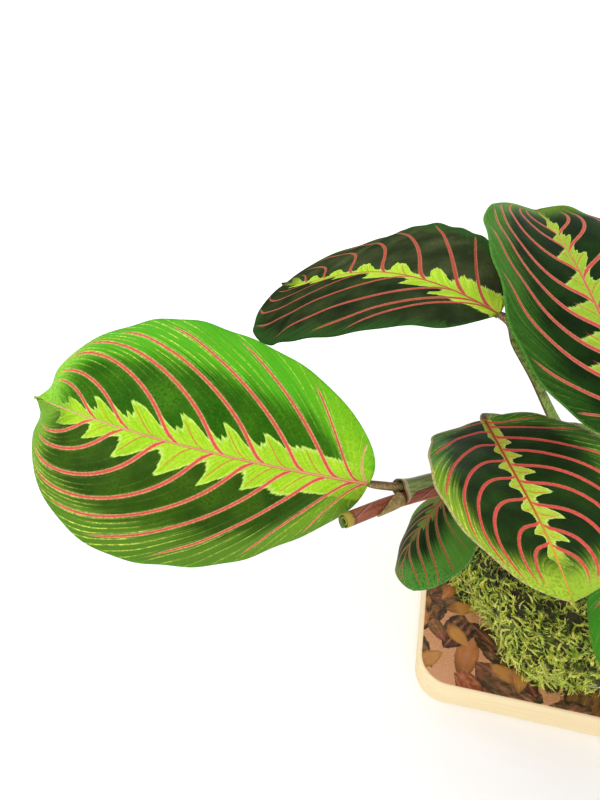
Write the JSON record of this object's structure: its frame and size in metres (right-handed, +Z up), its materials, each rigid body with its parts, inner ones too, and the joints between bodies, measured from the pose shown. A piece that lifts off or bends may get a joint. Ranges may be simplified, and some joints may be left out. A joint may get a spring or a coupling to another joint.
{
  "type": "prayer plant in a moss-wrapped root ball on a wooden board",
  "caption": "Prayer plant with red-veined oval leaves on thin stalks, growing from a thread-bound moss ball that stands on a printed wooden board.",
  "frame": {"origin": "centre of the board's underside", "axes": "+Z up, +X along the board's front edge, +Y towards the back"},
  "size_m": [0.4194, 0.308, 0.2326],
  "materials": {
    "board_wood": "satin",
    "printed_sheet": "matte",
    "potting_soil": "matte",
    "sheet_moss": "matte",
    "clear_thread": "gloss",
    "stalks": "satin",
    "leaf_blades": "satin",
    "rolled_leaf": "satin"
  },
  "bodies": {
    "root": {"board": "board_wood", "print_sheet": "printed_sheet", "root_ball": "potting_soil", "moss_cover": "sheet_moss", "binding_thread": "clear_thread", "rolled_leaf": "rolled_leaf", "stem_left": "stalks", "stem_low_left": "stalks", "stem_left_back": "stalks", "stem_front": "stalks", "stem_top": "stalks", "stem_low_front": "stalks", "stem_right_front": "stalks", "stem_right": "stalks", "stem_right_back": "stalks", "stem_back": "stalks", "stem_inner_back": "stalks", "stem_crown": "stalks", "leaf_left_front": "leaf_blades", "leaf_left_back": "leaf_blades", "leaf_top": "leaf_blades", "leaf_front": "leaf_blades", "leaf_low_left": "leaf_blades", "leaf_low_front": "leaf_blades", "leaf_right_front": "leaf_blades", "leaf_right": "leaf_blades", "leaf_right_back": "leaf_blades", "leaf_back": "leaf_blades", "leaf_inner_back": "leaf_blades", "leaf_crown": "leaf_blades", "leaf_young_back": "leaf_blades", "leaf_low_right": "leaf_blades", "leaf_low_back": "leaf_blades"}
  },
  "joints": []
}
